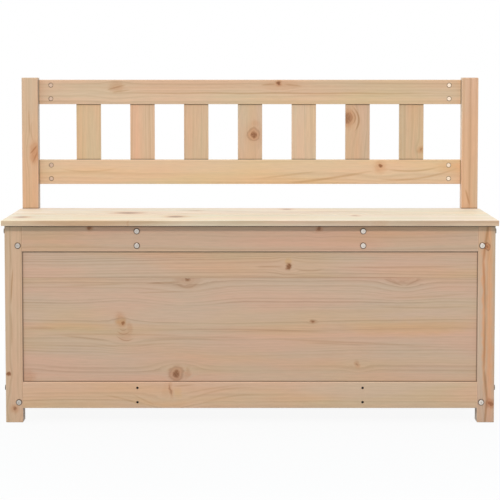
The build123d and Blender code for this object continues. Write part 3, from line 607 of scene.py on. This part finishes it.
FRONT_LINE = rail_line("front_rail_bolts")
BACK_LINE = rail_line("backrest_bolts")
POST_SIDE_BOLTS = RAIL_BOLTS + LOW_NUTS + HIGH_NUTS
# the seat boards' top tone holds a painted reflection and is paler than the wood
SEAT_TONE_AND_SHEEN = (230, 215, 191)
SEAT_SIDES = (0.79, 0.735, 0.71, 1.0)  # the sides are darker than the top, whose paler tone holds a painted reflection
SHADED_INNER_SIDE = (0.70, 0.67, 0.61, 1.0)    # painted shade on the sides of the left leg and post that face the middle
# painted light on the side of the right post that faces the middle
LIT_INNER_SIDE = (1.14, 1.14, 1.14, 1.0)
BOARDS = {
    "front_panel": dict(
        lie=LONG_FRONT, tone=(194, 166, 142), pith=(-420, -60), ring=7.0, contrast=0.55, seams=(SEAM_Z,),
        window=PANEL_FREE,
        knots=[knot(84.8, 346.7, 6.8, 9, 0.9, 1.0, 1.3, stretch=1.1, own=(SEAM_Z, ALL)),
               knot(-137.9, 320.8, 8.5, 0, 0.8, 0.75, 1.0, own=BELOW_SEAM),
               knot(-137.0, 321.0, 24.0, 14, 0.45, 0.0, stretch=1.2, own=BELOW_SEAM),
               knot(340.0, 323.0, 17.0, 14, 0.42, 0.0, stretch=2.0, own=BELOW_SEAM),
               knot(-285.0, 227.0, 18.0, 8, 0.55, 0.0, stretch=0.75, lean=-0.15),
               knot(-281.5, 221.5, 6.5, 4, 1.0, 0.8, 0.8),
               knot(-266.0, 210.0, 17.0, 0, 0.4, 0.0, stretch=0.35, lean=-0.1),
               knot(-275.0, 192.0, 13.0, 9, 0.3, 0.0, stretch=1.3),
               knot(-163.7, 108.3, 16.0, 16, 0.85, 0.9, 0.75, rim=0.28),
               knot(-138.4, 109.8, 13.0, 4, 0.45, 0.0, stretch=0.5, lean=0.2),
               knot(137.9, 224.7, 4.0, 4, 0.8, 0.7, 0.8, stretch=1.6),
               knot(237.4, 128.6, 8.0, 7, 0.6, 0.4, stretch=0.8, lean=-0.3),
               knot(-490.8, 100.0, 17.0, 6, 0.45, 0.0)],
        streaks=[streak([(-234, 309), (-144, 312)], 2.2, 0.75),
                 streak([(-257, 288), (-137, 291)], 1.6, 0.45),
                 streak([(-299, 197), (-275, 182), (-254, 189)], 1.5, 0.65),
                 streak([(-296, 206), (-278, 196), (-263, 205)], 1.4, 0.85),
                 streak([(-290, 210), (-279, 205), (-270, 210)], 1.3, 0.7),
                 streak([(-172, 318), (-138, 300), (-106, 318)], 2.4, 0.45),
                 streak([(-436, 196), (-305, 181)], 2.4, 0.4),
                 streak([(-498, 210), (-420, 210)], 2.0, 0.35),
                 streak([(-265, 204), (-110, 207), (225, 196)], 2.6, 0.38),
                 streak([(-264, 186), (-120, 189), (22, 187)], 2.4, 0.34),
                 streak([(10, 187), (190, 179), (437, 167)], 2.6, 0.38),
                 streak([(-264, 174), (-200, 183), (-30, 178)], 2.2, 0.3),
                 streak([(102, 178), (280, 171)], 2.0, 0.35),
                 streak([(10, 346), (78, 346)], 2.2, 0.5),
                 streak([(92, 344), (139, 337), (170, 343)], 2.0, 0.45),
                 streak([(165, 344), (330, 345), (500, 347)], 2.4, 0.42),
                 streak([(10, 338), (139, 326), (276, 333)], 2.2, 0.25),
                 streak([(290, 321), (344, 301)], 2.0, 0.45),
                 streak([(338, 301), (380, 321)], 2.0, 0.42),
                 streak([(264, 278), (375, 278), (500, 289)], 2.4, 0.3),
                 streak([(264, 259), (393, 255), (500, 259)], 2.2, 0.35),
                 streak([(-440, 302), (-346, 305), (-254, 310)], 2.4, 0.3),
                 streak([(-500, 192), (-300, 196), (-110, 190)], 2.2, 0.35),
                 streak([(-500, 176), (-330, 170), (-150, 178)], 2.2, 0.3)],
        stains=[streak([(170, 216), (350, 212), (540, 219)], 20.0, 1.0),
                streak([(76, 358), (94, 358)], 8.0, 0.9),
                streak([(-298, 225), (-272, 225)], 10.0, 1.0),
                streak([(-480, 216), (-380, 213), (-300, 210)], 12.0, 0.5)]),
    "front_top_rail": dict(
        lie=LONG_FRONT, tone=(192, 162, 137), pith=(130, -90), ring=8.0, contrast=0.35,
        window=RAIL_FREE, seats=seat_rows(BEARER_X, BEARER_BOLTS, BOLT_RADIUS),
        knots=[knot(-351.6, 431.5, 6.5, 6, 0.9, 0.8, 0.8), knot(154.4, 431.5, 7.0, 6, 0.8, 0.7, 0.8)]),
    "front_bottom_rail": dict(
        lie=LONG_FRONT, tone=(201, 173, 146), pith=(-110, -60), ring=8.0, contrast=0.5,
        knots=[knot(-175.5, 73.0, 20.0, 15, 0.55, 0.55, 0.7, (3.0, 2.4), 0.26, lean=-0.08),
               knot(-186.0, 72.0, 18.0, 0, 0.22, 0.0, stretch=0.45)],
        streaks=[streak([(-264, 66), (-232, 49), (-206, 38)], 2.0, 0.35),
                 streak([(-171, 81), (-140, 83), (-118, 86)], 2.0, 0.4),
                 streak([(-156, 42), (-92, 66), (22, 77)], 2.4, 0.3),
                 streak([(-126, 36), (-44, 58), (40, 61)], 2.4, 0.3),
                 streak([(-330, 62), (-270, 50), (-228, 36)], 2.2, 0.4),
                 streak([(-168, 58), (-96, 74), (10, 85)], 2.0, 0.3)],
        stains=[streak([(-280, 52), (-210, 42), (-110, 46)], 9.0, 0.7),
                streak([(-170, 66), (-150, 64)], 12.0, 0.6)]),
    "front_leg_left": dict(
        lie=UPRIGHT, tone=(200, 168, 138), pith=(75, 35), ring=7.0, waver=12.0, contrast=0.45,
        inner_light=SHADED_INNER_SIDE, window=LEG_FREE, seats=upright_seats(-1, LEG_BOLTS, RAIL_BOLTS, FRONT_LINE),
        knots=[knot(109.1, -532.9, 5.6, 3, 0.9, 1.0, 1.4), knot(30.4, -521.0, 9.0, 7, 0.8, 0.7, 0.7)],
        streaks=[streak([(350, -521.5), (302, -525), (256, -527)], 1.6, 1.0),
                 streak([(258, -529), (205, -526), (160, -527)], 2.6, 0.45),
                 streak([(430, -528), (380, -527), (330, -523)], 2.2, 0.3)]),
    "front_leg_right": dict(
        lie=UPRIGHT, tone=(192, 168, 144), pith=(-75, 40), ring=7.0, waver=12.0, contrast=0.45,
        window=LEG_FREE, seats=upright_seats(1, LEG_BOLTS, RAIL_BOLTS, FRONT_LINE),
        knots=[knot(392.0, 521.2, 8.0, 5, 1.0, 0.6, 0.5, rim=0.7),
               knot(43.1, 531.8, 10.0, 7, 1.0, 0.7, 0.8, rim=0.15)],
        streaks=[streak([(456, 526), (392, 517.5), (340, 511)], 3.4, 0.95),
                 streak([(385, 511), (305, 516.5), (220, 518)], 3.0, 0.85),
                 streak([(265, 518), (165, 517.5), (95, 515.5)], 3.0, 0.9),
                 streak([(130, 515.5), (77, 521.5), (30, 525)], 3.2, 1.0),
                 streak([(65, 525), (-15, 518.5)], 3.0, 1.0),
                 streak([(-100, 539), (540, 539)], 3.0, 0.25)],
        stain=ORANGE,
        stains=[streak([(-60, 530), (520, 526)], 9.0, 1.0),
                streak([(450, 515), (230, 515.5), (10, 519)], 4.6, 1.0)]),
    "back_post_left": dict(
        lie=UPRIGHT, tone=(205, 174, 145), pith=(90, 40), ring=8.0, waver=12.0, contrast=0.4,
        inner_light=SHADED_INNER_SIDE,
        seats=upright_seats(-1, LEG_BOLTS, POST_SIDE_BOLTS, BACK_LINE) + [seat_joint(-1)],
        knots=[knot(582.0, -510.5, 12.0, 6, 0.85, 0.0, stretch=2.0)],
        streaks=[streak([(578, -523), (590, -512), (602, -503)], 2.4, 1.0),
                 streak([(556, -516), (572, -509), (588, -502)], 2.2, 0.7),
                 streak([(690, -524), (650, -522.5), (618, -521)], 1.6, 0.6),
                 streak([(660, -515), (630, -518), (606, -512)], 1.5, 0.45)]),
    "back_post_right": dict(
        lie=UPRIGHT, tone=(208, 175, 148), pith=(-90, 60), ring=8.0, waver=8.0, contrast=0.45,
        inner_light=LIT_INNER_SIDE,
        seats=upright_seats(1, LEG_BOLTS, POST_SIDE_BOLTS, BACK_LINE) + [seat_joint(1)],
        streaks=[streak([(500, 510), (452, 523)], 2.6, 0.85),
                 streak([(380, 522), (800, 521)], 7.0, 0.2)]),
    "backrest_top_rail": dict(
        lie=LONG_FRONT, tone=(205, 180, 151), pith=(-120, -80), ring=7.0, waver=8.0, contrast=0.45,
        window=BACKREST_FREE, seats=seat_rows(NUT_X, HIGH_NUTS, NUT_RADIUS),
        knots=[knot(-318.0, 738.0, 13.0, 6, 0.55, 0.0, stretch=1.3),
               knot(69.2, 747.5, 9.5, 6, 1.0, 1.0, 0.75),
               knot(76.0, 743.0, 14.0, 0, 0.3, 0.0, stretch=3.0)],
        streaks=[streak([(-420, 723.5), (60, 723), (560, 722)], 2.2, 0.7, 0.6),
                 streak([(-700, 744), (800, 744)], 15, 0.22),
                 streak([(-346, 729), (-314, 738), (-286, 745)], 2.4, 0.7),
                 streak([(-330, 725), (-280, 731)], 2.0, 0.6),
                 streak([(20, 742), (66, 745)], 2.6, 0.7),
                 streak([(74, 745), (130, 739)], 2.6, 0.7)]),
    "backrest_lower_rail": dict(
        lie=LONG_FRONT, tone=(213, 186, 154), pith=(-150, -70), ring=8.0, contrast=0.4,
        window=BACKREST_FREE, seats=seat_rows(NUT_X, LOW_NUTS, NUT_RADIUS),
        knots=[knot(310.9, 549.9, 6.5, 6, 1.0, 1.0, 0.9), knot(309.0, 547.0, 15.0, 5, 0.6, 0.0),
               knot(475.0, 545.0, 15.0, 0, 0.28, 0.0, stretch=2.0)],
        streaks=[streak([(70, 507), (191, 521), (305, 541)], 3.2, 0.65),
                 streak([(314, 545), (386, 538), (460, 550)], 2.4, 0.65),
                 streak([(290, 522), (386, 519), (505, 549)], 2.6, 0.6),
                 streak([(0, 517), (175, 539)], 2.4, 0.4),
                 streak([(-465, 547), (-380, 537), (-300, 549)], 2.4, 0.3)]),
    "seat_lid": dict(
        lie=LYING, tone=SEAT_TONE_AND_SHEEN, sides=SEAT_SIDES, pith=(40, -50), ring=12.0, waver=34.0, contrast=1.3,
        seams=(-104.0,),
        knots=[knot(-510.7, -99.0, 28.0, 8, 1.0, 0.7, 0.8, stretch=0.8),
               knot(-167.4, -84.1, 36.0, 10, 1.0, 0.9, 0.85, stretch=0.75),
               knot(238.8, -60.2, 22.0, 9, 0.9, 0.5, 0.7, stretch=0.6),
               knot(287.0, -191.0, 10.0, 4, 0.25, 0.0, stretch=1.6),
               knot(-266.7, -191.0, 3.0, 1, 0.4, 0.1)],
        streaks=[streak([(-900, -22), (900, -22)], 9.0, 0.4),
                 streak([(-900, -104), (900, -104)], 9.0, 0.3),
                 streak([(-190, -86), (-110, -89)], 8.0, 0.6),
                 streak([(-545, -104), (-440, -96)], 8.0, 0.5),
                 streak([(-60, -58), (190, -66)], 9.0, 0.3),
                 streak([(190, -150), (480, -140)], 9.0, 0.3)]),
    "fixed_seat_board": dict(
        lie=LYING, tone=SEAT_TONE_AND_SHEEN, sides=SEAT_SIDES, pith=(-40, -50), ring=12.0, waver=34.0, contrast=1.3,
        seams=(70.0,),
        knots=[knot(-280.5, 19.6, 34.0, 9, 1.0, 0.85, 0.85, stretch=1.1),
               knot(86.3, 128.6, 28.0, 10, 0.9, 0.7, 0.7, stretch=0.6),
               knot(-125.8, 83.0, 16.0, 6, 0.6, 0.3)],
        streaks=[streak([(-900, 0), (900, 0)], 9.0, 0.4),
                 streak([(-310, 16), (-225, 6)], 8.0, 0.7),
                 streak([(-475, 42), (-375, 40)], 10.0, 0.5),
                 streak([(-180, 96), (-90, 95)], 10.0, 0.5),
                 streak([(20, 60), (330, 66)], 10.0, 0.3)]),
}

# The slats from left to right; the keys are their numbers.
SLAT_TONES = ((204, 178, 144), (210, 177, 146), (202, 175, 144), (197, 175, 152), (204, 182, 154),
              (196, 171, 146), (199, 171, 139))
SLAT_KNOTS = {4: [knot(624.4, 8.7, 15.0, 10, 0.9, 0.9, 0.66, rim=0.34),
                  knot(626.4, 9.7, 25.0, 6, 0.3, 0.0),
                  knot(650.0, 12.0, 10.0, 0, 0.4, 0.0)],
              6: [knot(664.0, 231.0, 18.0, 12, 0.9, 0.65, 0.75, stretch=1.3)],
              7: [knot(588.1, 407.0, 8.0, 8, 0.7, 0.5)]}
SLAT_STREAKS = {6: [streak([(697, 239), (668, 258), (628, 246)], 2.4, 1.0),
                    streak([(688, 236), (668, 250), (645, 241)], 1.8, 0.9),
                    streak([(682, 232), (667, 243), (652, 236)], 1.5, 0.8)]}
SLAT_PITHS = ((84, -70), (-92, -60), (64, -75), (-70, -80), (94, -65), (80, -70), (-90, -60))
for number, (tone, pith) in enumerate(zip(SLAT_TONES, SLAT_PITHS), 1):
    BOARDS["backrest_slat_%d" % number] = dict(
        lie=UPRIGHT, tone=tone, pith=pith, ring=6.0, waver=10.0, contrast=0.42,
        knots=SLAT_KNOTS.get(number, []), streaks=SLAT_STREAKS.get(number, []),
        window=SLAT_FREE)

# The boards that the photograph doesn't show: how each lies, its tone, its pith, its seams, and the
# number and usual radius of its knots.
OUT_OF_SIGHT = {
    "back_panel": (LONG_FRONT, (199, 169, 141), (30, 140), (150.0, 268.0), 8, 10),
    "left_panel": (CROSSWISE, (200, 170, 142), (-30, 120), (205.0,), 4, 9),
    "right_panel": (CROSSWISE, (197, 167, 139), (45, -130), (255.0,), 4, 9),
    "floor_board": (LYING, (201, 172, 145), (10, 110), (-60.0, 55.0), 6, 9),
    "back_top_rail": (LONG_FRONT, (198, 167, 140), (20, 70), (), 3, 6),
    "back_bottom_rail": (LONG_FRONT, (197, 166, 138), (-25, 80), (), 3, 6),
    "left_top_rail": (CROSSWISE, (199, 168, 140), (20, -70), (), 1, 6),
    "left_bottom_rail": (CROSSWISE, (196, 165, 138), (-20, -80), (), 1, 7),
    "right_top_rail": (CROSSWISE, (198, 167, 140), (-30, 75), (), 1, 6),
    "right_bottom_rail": (CROSSWISE, (200, 169, 141), (25, 65), (), 1, 6),
    "seat_bearer_left": (CROSSWISE, (202, 172, 144), (20, 50), (), 1, 5),
    "seat_bearer_right": (CROSSWISE, (199, 169, 141), (-20, 55), (), 1, 5),
    "floor_bearer_left": (CROSSWISE, (200, 170, 142), (15, -55), (), 1, 5),
    "floor_bearer_right": (CROSSWISE, (198, 168, 140), (-15, -50), (), 1, 5),
}
WINDOWS = {"back_panel": PANEL_FREE, "left_panel": SIDE_PANEL_FREE, "right_panel": SIDE_PANEL_FREE}
for board, (lie, tone, pith, seams, count, size) in OUT_OF_SIGHT.items():
    BOARDS[board] = dict(lie=lie, tone=tone, pith=pith, seams=seams, window=WINDOWS.get(board),
                         knots=scattered_knots(board, lie, count, size))

LEG_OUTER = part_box("front_leg_right")[1].x  # how far out the legs reach, in m
STEEL_CLOUDS = (240.0, 240.0, 240.0)   # waves per metre
SCRATCH_SHARE = 0.5                    # what the scratches add to the clouds
TONE_FADE = (0.3, 0.7)
GLOSS_FADE = (0.25, 0.75)
DULLER = 0.10                          # how much rougher the dark spots are
GLOSSIER = 0.06                        # how much smoother the light ones are
HEAD_FADE = (0.86, 0.98)               # how squarely a flat head faces out, from its rim to its middle
STEEL_BUMP = 0.25


def metal_finish(name, light, dark, rough, grain, depth, rim=None, left=None):
    """Plated or blackened steel: two tones in small clouds and fine scratches, and a rough sheen. grain
    is the scratches' waves per metre along x, y and z, and depth their depth in mm. rim is the colour of
    the painted shade on the slopes round a flat head, and left the tint of a painted dimmer reflection on
    the pieces furthest to the left; a metal has both of these or neither."""
    finish, r, shader = new_finish(name)
    source = r.node("TexCoord", {}).outputs
    place = source["Object"]
    cloud = r.noise(r.vector("MULTIPLY", place, STEEL_CLOUDS), 3.0, 0.6)["Fac"]
    scratch = r.noise(r.vector("MULTIPLY", place, grain), 2.0, 0.6)["Fac"]
    tone = r.math("MULTIPLY_ADD", r.math("SUBTRACT", scratch, 0.5), SCRATCH_SHARE, cloud)
    colour = r.mix(r.fade(tone, *TONE_FADE), dark, light)
    # painted shade on the slopes round a flat head, and a painted dimmer reflection towards the left
    if rim:
        across, deep, _ = r.split(r.vector("ABSOLUTE", source["Normal"]))
        right = r.split(place)[0]
        beside = r.math("GREATER_THAN", r.math("ABSOLUTE", right), LEG_OUTER)
        flat = r.math("MAXIMUM", r.math("MULTIPLY", across, beside), r.math("SUBTRACT", deep, beside))
        colour = r.mix(r.fade(flat, *HEAD_FADE), rim, colour)
        rightward = r.fade(right, -LEG_OUTER, LEG_OUTER)
        colour = r.mix(1.0, colour, r.mix(rightward, left, grey(1.0)), "MULTIPLY")
    r.feed(shader.inputs["Base Color"], colour)
    r.feed(shader.inputs["Roughness"], r.fade(tone, *GLOSS_FADE, rough + DULLER, rough - GLOSSIER))
    shader.inputs["Metallic"].default_value = 1.0
    bump = r.node("Bump", {"Height": tone, "Strength": STEEL_BUMP, "Distance": depth * MM})
    r.feed(shader.inputs["Normal"], bump.outputs[0])
    return finish


BEECH = paint(206, 168, 134)
BEECH_FLECK = paint(160, 118, 86)
BEECH_FLECKS = (900.0, 300.0, 900.0)   # waves per metre
BEECH_FADE = (0.4, 0.7)
BEECH_ROUGH = (0.5, 0.65)
BEECH_BUMP = 0.2
BEECH_DEPTH = 0.1 * MM


def beech_finish():
    """Turned beech: pinkish, with short dark flecks."""
    finish, r, shader = new_finish("beech_dowel")
    place = r.node("TexCoord", {}).outputs["Object"]
    fleck = r.noise(r.vector("MULTIPLY", place, BEECH_FLECKS), 2.0, 0.6)["Fac"]
    r.feed(shader.inputs["Base Color"], r.mix(r.fade(fleck, *BEECH_FADE), BEECH, BEECH_FLECK))
    r.feed(shader.inputs["Roughness"], r.fade(fleck, *FIBRE_FADE, *BEECH_ROUGH))
    bump = r.node("Bump", {"Height": fleck, "Strength": BEECH_BUMP, "Distance": BEECH_DEPTH})
    r.feed(shader.inputs["Normal"], bump.outputs[0])
    return finish


EVEN = (500.0, 500.0, 500.0)    # waves per metre of the scratches
BRUSHED = (90.0, 2200.0, 2200.0)
ZINC = (0.78, 0.73, 0.67, 1.0)
WORN_ZINC = (0.64, 0.59, 0.53, 1.0)
# painted shade on the slopes round the bolt heads
BOLT_RIM_SHADE = (0.15, 0.12, 0.095, 1.0)
# painted dimmer reflection on the bolts furthest to the left
ZINC_LEFT_SHADE = grey(0.74)
BRASS = (0.96, 0.82, 0.66, 1.0)
WORN_BRASS = (0.84, 0.70, 0.55, 1.0)
# painted shade on the slopes round the nuts
NUT_RIM_SHADE = (0.30, 0.21, 0.15, 1.0)
# painted dimmer reflection on the nuts furthest to the left
BRASS_LEFT_SHADE = (0.68, 0.595, 0.57, 1.0)
BRIGHT_STEEL = grey(0.62)
WORN_STEEL = grey(0.42)
BLACK = grey(0.045)
DEEP_BLACK = grey(0.02)
FINISH_OF_SLOT = {
    "bolt_steel": metal_finish("zinc_bolts", ZINC, WORN_ZINC, 0.30, EVEN, 0.05, BOLT_RIM_SHADE, ZINC_LEFT_SHADE),
    "nut_steel": metal_finish("brass_nuts", BRASS, WORN_BRASS, 0.34, EVEN, 0.05, NUT_RIM_SHADE, BRASS_LEFT_SHADE),
    "hinge_steel": metal_finish("brushed_hinges", BRIGHT_STEEL, WORN_STEEL, 0.36, BRUSHED, 0.04),
    "screw_steel": metal_finish("black_screws", BLACK, DEEP_BLACK, 0.42, EVEN, 0.04),
    "dowel_beech": beech_finish(),
}
for name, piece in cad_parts.items():
    slot = piece.material_slots[0]
    if name in BOARDS:
        slot.material = pine_finish(name, **BOARDS[name])
    else:
        slot.material = FINISH_OF_SLOT[slot.material.name.split(".")[0]]


def seen_directly(r):
    """A mask of the rays that see the studio itself: from the camera, in a gloss or through glass."""
    path = r.node("LightPath", {}).outputs
    either = r.math("MAXIMUM", path["Is Camera Ray"], path["Is Glossy Ray"])
    return r.math("MAXIMUM", either, path["Is Transmission Ray"])


FLOOR_HALF = 30.0
FLOOR_CARD = (0.55, 0.58, 0.60, 1.0)
FLOOR_GLOW = 0.93        # share of the floor's white, near the bench, that no shadow takes away
SHADOW_REACH = (0.6, 1.5)  # metres from the middle where the shadow starts to fade and where it ends
SKY_LOW = 0.25           # light of the room at the height of the horizon
SKY_HIGH = 1.1           # how much more it gives from straight above
SKY_SIDES = 0.3          # how much more from both sides
SKY_LEFT = 0.18          # how much more from the left, and less from the right
SKY_BACK = 0.8           # how much more from behind the bench
SKY_TINT = (0.90, 1.0, 1.03, 1.0)
LAMP_PLACE = (0.0, -5.4, 4.0)
LAMP_AIM = (0.0, -0.1, 0.42)
LAMP_WIDTH = 1.6
LAMP_HEIGHT = 0.7
LAMP_WATTS = 184.0
LAMP_TINT = (1.0, 0.835, 0.775)


def studio_floor():
    """A flat white square under the feet, which takes the bench's shadow near the bench."""
    rim = FLOOR_HALF * np.array(((-1, -1, 0), (1, -1, 0), (1, 1, 0), (-1, 1, 0)), float)
    mesh = bpy.data.meshes.new("floor")
    mesh.from_pydata(rim.tolist(), [], [(0, 1, 2, 3)])
    floor = bpy.data.objects.new("floor", mesh)
    bpy.context.scene.collection.objects.link(floor)
    finish = bpy.data.materials.new("studio_white")
    finish.use_nodes = True
    finish.node_tree.nodes.clear()
    r = Recipe(finish.node_tree)
    card = r.node("BsdfDiffuse", {"Color": FLOOR_CARD}).outputs[0]
    glow = r.node("Emission", {"Color": grey(1.0), "Strength": 1.0}).outputs[0]
    away = r.vector("LENGTH", r.node("TexCoord", {}).outputs["Object"])
    level = r.fade(away, *SHADOW_REACH, FLOOR_GLOW, 1.0)
    share = r.math("MULTIPLY", seen_directly(r), level)
    white = r.node("MixShader", {0: share, 1: card, 2: glow}).outputs[0]
    r.node("OutputMaterial", {"Surface": white})
    mesh.materials.append(finish)


def studio_sky():
    """A white room, lighter overhead and at both sides by the square of the height and of the distance
    to the side, and lighter to the left and behind in proportion: plain white where it is seen."""
    world = bpy.data.worlds.new("studio")
    world.use_nodes = True
    world.node_tree.nodes.clear()
    r = Recipe(world.node_tree)
    right, behind, height = r.split(r.node("TexCoord", {}).outputs["Generated"])
    level = r.math("MULTIPLY_ADD", r.math("MULTIPLY", height, height), SKY_HIGH, SKY_LOW)
    level = r.math("MULTIPLY_ADD", r.math("MULTIPLY", right, right), SKY_SIDES, level)
    level = r.math("MULTIPLY_ADD", right, -SKY_LEFT, level)
    level = r.math("MULTIPLY_ADD", r.math("MAXIMUM", behind, 0.0), SKY_BACK, level)
    dim = r.node("Background", {"Color": SKY_TINT, "Strength": level}).outputs[0]
    white = r.node("Background", {"Color": grey(1.0), "Strength": 1.0}).outputs[0]
    room = r.node("MixShader", {0: seen_directly(r), 1: dim, 2: white}).outputs[0]
    r.node("OutputWorld", {"Surface": room})
    bpy.context.scene.world = world


def softbox():
    """One wide lamp, high in front, that faces the middle of the seat."""
    lamp = bpy.data.lights.new("front_box", "AREA")
    lamp.shape = "RECTANGLE"
    lamp.size = LAMP_WIDTH
    lamp.size_y = LAMP_HEIGHT
    lamp.energy = LAMP_WATTS
    lamp.color = LAMP_TINT
    box = bpy.data.objects.new("front_box", lamp)
    box.location = LAMP_PLACE
    box.rotation_euler = (Vector(LAMP_AIM) - Vector(LAMP_PLACE)).to_track_quat("-Z", "Y").to_euler()
    bpy.context.scene.collection.objects.link(box)


studio_floor()
studio_sky()
softbox()

CAMERA_PLACE = (0.0, -4.1438, 0.7837)
CAMERA_TILT = 3.9        # degrees down
CAMERA_SENSOR = 36.0     # mm wide
CAMERA_LENS = 130.636    # mm
CAMERA_SHIFT = -0.1174   # share of the picture's width; below nought the view is lowered
CAMERA_FAR = 200.0
camera = bpy.data.cameras.new("photo_camera")
camera.sensor_width = CAMERA_SENSOR
camera.lens = CAMERA_LENS
camera.shift_y = CAMERA_SHIFT
camera.clip_end = CAMERA_FAR
stand = bpy.data.objects.new("photo_camera", camera)
stand.location = CAMERA_PLACE
stand.rotation_euler = (math.radians(90.0 - CAMERA_TILT), 0.0, 0.0)
bpy.context.scene.collection.objects.link(stand)
bpy.context.scene.camera = stand
bpy.context.scene.view_settings.view_transform = "Standard"
